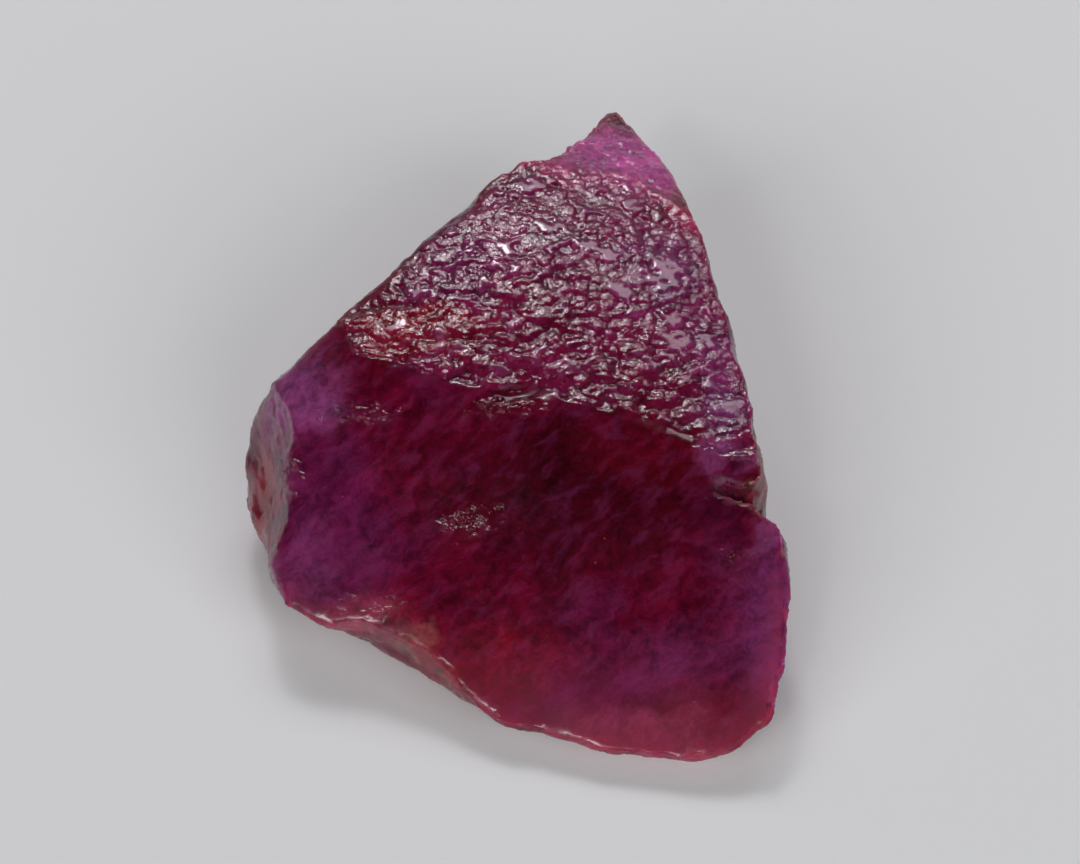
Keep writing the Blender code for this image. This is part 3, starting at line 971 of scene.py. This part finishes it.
@dataclass
class Stone:
    """The ruby's body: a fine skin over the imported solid, with marks for its faces."""

    node: str = "ruby"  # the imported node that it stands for
    grid: float = 0.14  # the size of the skin's quads
    keep_crown: float = 0.9  # how far two normals may differ and still be smoothed into each other
    keep_front: float = 0.5
    keep_sides: float = 0.28
    smooth_rounds: int = 26
    settle_rounds: int = 16
    level_crown: float = 0.75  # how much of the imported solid's coarse lumps is taken off the crown
    level_knob: float = 0.75  # and off the notch and the knob
    level_order: int = 4
    bend_rounds: int = 8
    refine_from: float = 0.04  # how strong a mark has to be for the grid to be halved
    thin: Span = (6.0, 1.0)  # how thick the stone is where it gets no painted glow and where the painted glow is full
    triangles: int = 190000
    relief: Relief = field(default_factory=Relief)
    finish: RubyFinish = field(default_factory=RubyFinish)
    slot: Slot = field(default_factory=Slot)

    def merged_copy(self) -> bpy.types.Object:
        """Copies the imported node's mesh and merges its loose triangles.

        Returns:
            The copy, in an object of its own.
        """
        build = bmesh.new()
        build.from_mesh(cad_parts[self.node].data)
        bmesh.ops.remove_doubles(build, verts=build.verts, dist=1e-7)
        mesh = bpy.data.meshes.new("merged stone")
        build.to_mesh(mesh)
        build.free()
        copy = bpy.data.objects.new("merged stone", mesh)
        bpy.context.scene.collection.objects.link(copy)
        return copy

    def fine_mesh(self) -> bpy.types.Mesh:
        """Lays the stone's skin on an even fine grid.

        Returns:
            A mesh of quads.
        """
        copy = self.merged_copy()
        even = copy.modifiers.new("even grid", "REMESH")
        even.mode = "VOXEL"
        even.voxel_size = self.grid * MM
        graph = bpy.context.evaluated_depsgraph_get()
        mesh = bpy.data.meshes.new_from_object(copy.evaluated_get(graph))
        bpy.data.objects.remove(copy, do_unlink=True)
        return mesh

    def marks(self, points: np.ndarray, normals: np.ndarray) -> dict[Mark, np.ndarray]:
        """Finds which face each point is on.

        Args:
            points: The points.
            normals: Their unit normals.

        Returns:
            The value of each mark at each point.
        """
        up = normals[:, 2]
        behind = ETCHED_FROM.past(points)
        crease = TIP_CREASE.past(points)
        on_tip = smooth_step(-0.3, 0.5, crease) * smooth_step(0.4, 0.8, up)
        on_tip *= points[:, 0] > TIP_CREASE.corners[0][0]
        inside = np.where(points[:, 0] < BACK_RIM.corners[-1][0], -BACK_RIM.past(points), 9.0)
        beside_tip = np.exp(-((crease / 1.6) ** 2)) * (points[:, 0] > 1.0)
        etched = smooth_step(0.62, 0.84, up + 0.3 * beside_tip) * smooth_step(-0.15, 0.15, behind)
        etched *= 1.0 - on_tip
        etched *= smooth_step(-0.2, 0.6, inside) * (1.0 - NOTCH.share(points))
        front = smooth_step(0.42, 0.60, up) * smooth_step(0.15, -0.15, behind)
        front *= smooth_step(-0.74, -0.62, normals[:, 0])
        on_crease = np.exp(-((crease / 0.8) ** 2)) * (points[:, 0] > 1.0) * smooth_step(0.3, 0.7, up)
        return {
            Mark.ETCHED: etched,
            Mark.FRONT: front,
            Mark.TIP: on_tip,
            Mark.LOW_CROWN: smooth_step(9.0, 1.5, behind),
            Mark.SPARK: most_of(SPARKS, points),
            Mark.FLAT: most_of(FLATS, points),
            Mark.DULL: most_of(DULLS, points),
            Mark.CREASE: on_crease,
        }

    def settle(self, skin: Skin) -> None:
        """Smooths the skin's faces, takes their coarse lumps off and cuts the slot.

        Args:
            skin: The skin, which is changed.
        """
        across = skin.across()
        marks = self.marks(skin.centres(), across / np.linalg.norm(across, axis=1, keepdims=True))
        keep = self.keep_sides + (self.keep_crown - self.keep_sides) * marks[Mark.ETCHED]
        keep += (self.keep_front - self.keep_sides) * marks[Mark.FRONT]
        side = (ETCHED_FROM.past(skin.centres()) > 0.0) + 2.0 * (marks[Mark.FRONT] > 0.5)
        skin.smooth_faces(keep, side, self.smooth_rounds, self.settle_rounds)
        marks = self.marks(skin.points, skin.normals())
        etched, front = marks[Mark.ETCHED], marks[Mark.FRONT]
        skin.level(etched > 0.9, self.level_crown * etched, self.level_order)
        slope = (front > 0.9) & (skin.points[:, 1] < -5.0) & (skin.points[:, 0] > -12.0)
        facing = smooth_step(0.15, 0.5, skin.normals()[:, 2])
        worn = most_of((NOTCH, KNOB), skin.points)
        skin.level(slope, self.level_knob * worn * facing, self.level_order)
        skin.points[:, 2] -= self.slot.sink(skin.points)
        skin.points[:, 2] = np.maximum(skin.points[:, 2], 0.0)

    def write_marks(self, mesh: bpy.types.Mesh, skin: Skin) -> None:
        """Writes the settled points and their marks into the mesh.

        Args:
            mesh: The mesh, which is changed.
            skin: Its settled skin.
        """
        normals = skin.normals()
        mesh.vertices.foreach_set("co", (skin.points * MM).astype(np.float32).ravel())
        outwards = mesh.attributes.new(OUTWARDS, "FLOAT_VECTOR", "POINT")
        outwards.data.foreach_set("vector", normals.astype(np.float32).ravel())
        values = self.marks(skin.points, normals)
        values[Mark.FREE] = smooth_step(0.02, 0.5, skin.points[:, 2])
        bend = skin.bend(self.bend_rounds)
        values[Mark.EDGE] = smooth_step(0.25, 1.2, bend) - smooth_step(-0.25, -1.2, bend)
        for mark, value in values.items():
            attribute = mesh.attributes.new(mark.value, "FLOAT", "POINT")
            attribute.data.foreach_set("value", value.astype(np.float32))

    def refine(self, mesh: bpy.types.Mesh) -> None:
        """Halves the grid on the crown and in the glistening patches, where the relief is finest.

        Args:
            mesh: The mesh, which is changed.
        """
        build = bmesh.new()
        build.from_mesh(mesh)
        layers = [build.verts.layers.float[mark.value] for mark in (Mark.ETCHED, Mark.SPARK)]
        edges = [
            edge
            for edge in build.edges
            if all(max(vert[layer] for layer in layers) > self.refine_from for vert in edge.verts)
        ]
        bmesh.ops.subdivide_edges(build, edges=edges, cuts=1, use_grid_fill=True)
        build.to_mesh(mesh)
        build.free()

    def thinned(self, piece: bpy.types.Object) -> bpy.types.Mesh:
        """Brings a piece's mesh down to the wanted number of triangles.

        Args:
            piece: The piece.

        Returns:
            Its new mesh.
        """
        piece.data.calc_loop_triangles()
        thin_out = piece.modifiers.new("thin out", "DECIMATE")
        thin_out.ratio = self.triangles / len(piece.data.loop_triangles)
        graph = bpy.context.evaluated_depsgraph_get()
        mesh = bpy.data.meshes.new_from_object(piece.evaluated_get(graph))
        piece.modifiers.clear()
        return mesh

    def write_thin(self, mesh: bpy.types.Mesh) -> None:
        """Marks where the stone is thin, by how far it goes straight in from each point.

        Args:
            mesh: The mesh, which is changed.
        """
        thick = 20.0  # the depth where a ray finds no far side
        step_in = 0.0003  # the ray starts just under the skin
        count = len(mesh.vertices)
        points, normals = np.empty(count * 3), np.empty(count * 3)
        mesh.vertices.foreach_get("co", points)
        mesh.vertices.foreach_get("normal", normals)
        points, normals = points.reshape(-1, 3), normals.reshape(-1, 3)
        tree = BVHTree.FromPolygons([p.co for p in mesh.vertices], [p.vertices[:] for p in mesh.polygons])
        depth = np.full(count, thick)
        for index in range(count):
            way = Vector(-normals[index])
            start = Vector(points[index]) + way * step_in
            found = tree.ray_cast(start, way)
            if found[0] is not None:
                depth[index] = found[3] / MM
        thin = mesh.attributes.new(Mark.THIN.value, "FLOAT", "POINT")
        thin.data.foreach_set("value", smooth_step(*self.thin, depth).astype(np.float32))

    def build(self) -> bpy.types.Object:
        """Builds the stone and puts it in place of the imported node.

        Returns:
            The finished piece.
        """
        mesh = self.fine_mesh()
        skin = Skin.of_mesh(mesh)
        self.settle(skin)
        self.write_marks(mesh, skin)
        self.refine(mesh)
        piece = bpy.data.objects.new("raw_ruby", mesh)
        bpy.context.scene.collection.objects.link(piece)
        piece.data = self.relief.apply(piece, self.finish.material())
        piece.data = self.thinned(piece)
        piece.data.name = "raw_ruby"
        self.write_thin(piece.data)
        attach(piece, "root")
        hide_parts(self.node)
        LOG.info("%s: %d faces", piece.name, len(piece.data.polygons))
        return piece


# ---- The studio ----


@dataclass(frozen=True)
class Softbox:
    """A soft light that faces the stone.

    Attributes:
        name: Its name.
        place: Where it hangs, in metres.
        size: Its width and its height, in metres.
        power: Its power, in watts.
        colour: The colour of its light.
        mirrored: Whether the stone's gloss shows it.
    """

    name: str
    place: Point
    size: Span
    power: float
    colour: Point = (1.0, 1.0, 1.0)
    mirrored: bool = True

    def hang(self) -> None:
        """Hangs the light."""
        data = bpy.data.lights.new(self.name, "AREA")
        data.shape = "RECTANGLE"
        data.size, data.size_y = self.size
        data.energy = self.power
        data.color = self.colour
        lamp = bpy.data.objects.new(self.name, data)
        lamp.location = self.place
        lamp.rotation_euler = (-Vector(self.place)).to_track_quat("-Z", "Y").to_euler()
        lamp.visible_glossy = self.mirrored
        bpy.context.scene.collection.objects.link(lamp)
        LOG.info("%s: %.2f W", self.name, self.power)


SOFTBOXES = (
    Softbox("back softbox", (0.0, 0.42, 0.50), (0.50, 0.28), 0.93, (1.0, 0.96, 1.0)),
    Softbox("back lamp", (-0.05, 0.42, 0.52), (0.12, 0.12), 0.60, (1.0, 0.96, 1.0)),
    Softbox("left softbox", (-0.60, -0.90, 0.64), (1.20, 0.66), 6.0, mirrored=False),
    Softbox("right softbox", (0.66, -0.88, 0.66), (1.20, 0.66), 5.6, mirrored=False),
    Softbox("front lamp", (-0.315, -0.69, 0.725), (0.12, 0.12), 0.5),
)


@dataclass
class Studio:
    """A pale floor, soft light and the camera."""

    floor_side: float = 4.0  # in metres
    floor_colour: Colour = (0.94, 0.955, 0.96, 1.0)
    floor_rough: float = 0.9
    sky_colour: Colour = (0.92, 0.95, 1.0, 1.0)
    sky_heights: Span = (0.10, 0.62)  # how steep a way is where the light from all round fades
    sky_strength: Span = (0.22, 0.006)  # its strength at these two
    aim: Point = (1.709, -0.997, 6.0)  # the place on the stone that the camera looks at
    elevation: float = 50.0  # how far it looks down from the level, in degrees
    distance: float = 221.5
    lens: float = 120.0
    sensor: float = 36.0
    near: float = 0.01  # in metres

    def build(self) -> None:
        """Builds the floor, the light and the camera."""
        self.floor()
        for softbox in SOFTBOXES:
            softbox.hang()
        self.sky()
        self.camera()

    def floor(self) -> None:
        """Lays the pale floor."""
        half = self.floor_side / 2
        corners = [(-half, -half, 0), (half, -half, 0), (half, half, 0), (-half, half, 0)]
        mesh = bpy.data.meshes.new("floor")
        mesh.from_pydata(corners, [], [(0, 1, 2, 3)])
        floor = bpy.data.objects.new("floor", mesh)
        material = bpy.data.materials.new("pale paper")
        material.use_nodes = True
        shader = material.node_tree.nodes["Principled BSDF"]
        shader.inputs["Base Color"].default_value = self.floor_colour
        shader.inputs["Roughness"].default_value = self.floor_rough
        mesh.materials.append(material)
        bpy.context.scene.collection.objects.link(floor)
        LOG.info("%s: %.1f m wide", floor.name, self.floor_side)

    def sky(self) -> None:
        """Sets the soft light from all round, which is strongest near the level."""
        world = bpy.data.worlds.new("studio")
        bpy.context.scene.world = world
        world.use_nodes = True
        back = world.node_tree.nodes["Background"]
        sheet = Sheet(world.node_tree)
        way = sheet.node("ShaderNodeTexCoord").outputs["Generated"]
        up = sheet.node("ShaderNodeSeparateXYZ", {0: way}).outputs["Z"]
        strength = sheet.ease(up, *self.sky_heights, *self.sky_strength)
        world.node_tree.links.new(strength, back.inputs["Strength"])
        back.inputs["Color"].default_value = self.sky_colour

    def camera(self) -> None:
        """Sets the camera."""
        data = bpy.data.cameras.new("camera")
        data.lens, data.sensor_width = self.lens, self.sensor
        data.clip_start = self.near
        camera = bpy.data.objects.new("camera", data)
        bpy.context.scene.collection.objects.link(camera)
        angle = math.radians(self.elevation)
        back = Vector((0.0, -math.cos(angle), math.sin(angle)))
        camera.location = (Vector(self.aim) + back * self.distance) * MM
        camera.rotation_euler = back.to_track_quat("Z", "Y").to_euler()
        bpy.context.scene.camera = camera


def main() -> None:
    """Builds the stone and the studio."""
    logging.basicConfig(level=logging.INFO, format="%(name)s: %(message)s")
    Stone().build()
    Studio().build()
    bpy.context.scene.view_settings.view_transform = "Standard"


if __name__ == "__main__":
    main()
